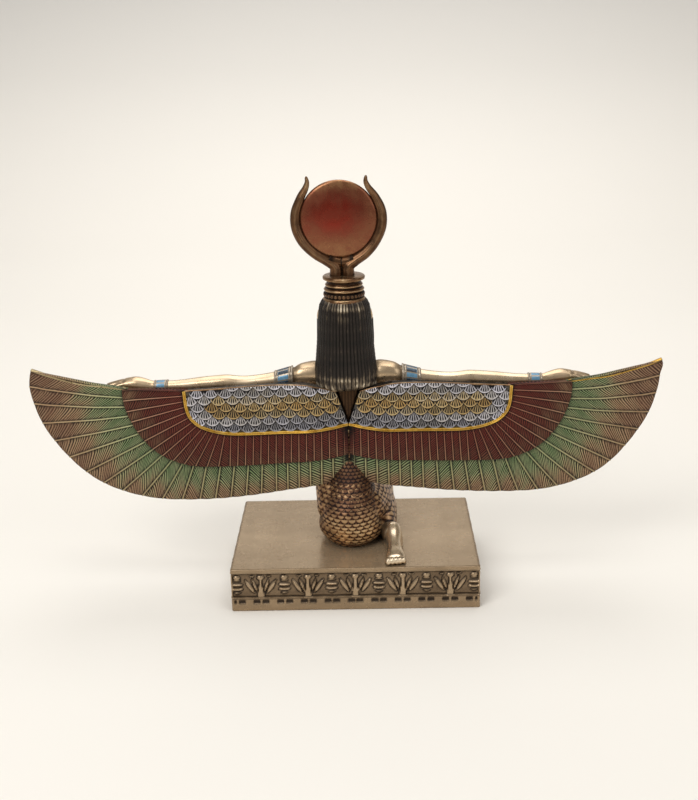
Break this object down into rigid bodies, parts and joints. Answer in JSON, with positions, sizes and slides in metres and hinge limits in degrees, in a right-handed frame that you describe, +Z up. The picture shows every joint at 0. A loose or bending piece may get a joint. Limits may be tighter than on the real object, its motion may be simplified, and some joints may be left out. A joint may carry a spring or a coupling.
{
  "type": "winged goddess statuette",
  "caption": "Kneeling winged goddess statuette with horned disc headdress, arms outstretched before two feathered wings, on a frieze-carved plinth.",
  "frame": {"origin": "centre of the plinth's underside", "axes": "+Z up, the figure faces -Y, her left wing reaches along +X"},
  "size_m": [0.3816, 0.1056, 0.2533],
  "materials": {
    "plinth_bronze": "satin cold-cast bronze with a dark wash in the carving",
    "figure_bronze": "polished cold-cast bronze, with painted wig, disc and jewellery",
    "wing_paint": "hand-painted feathers, dry-brushed over a dark wash"
  },
  "bodies": {
    "root": {"plinth": "plinth_bronze", "figure": "figure_bronze", "left_wing": "wing_paint", "right_wing": "wing_paint"}
  },
  "joints": []
}
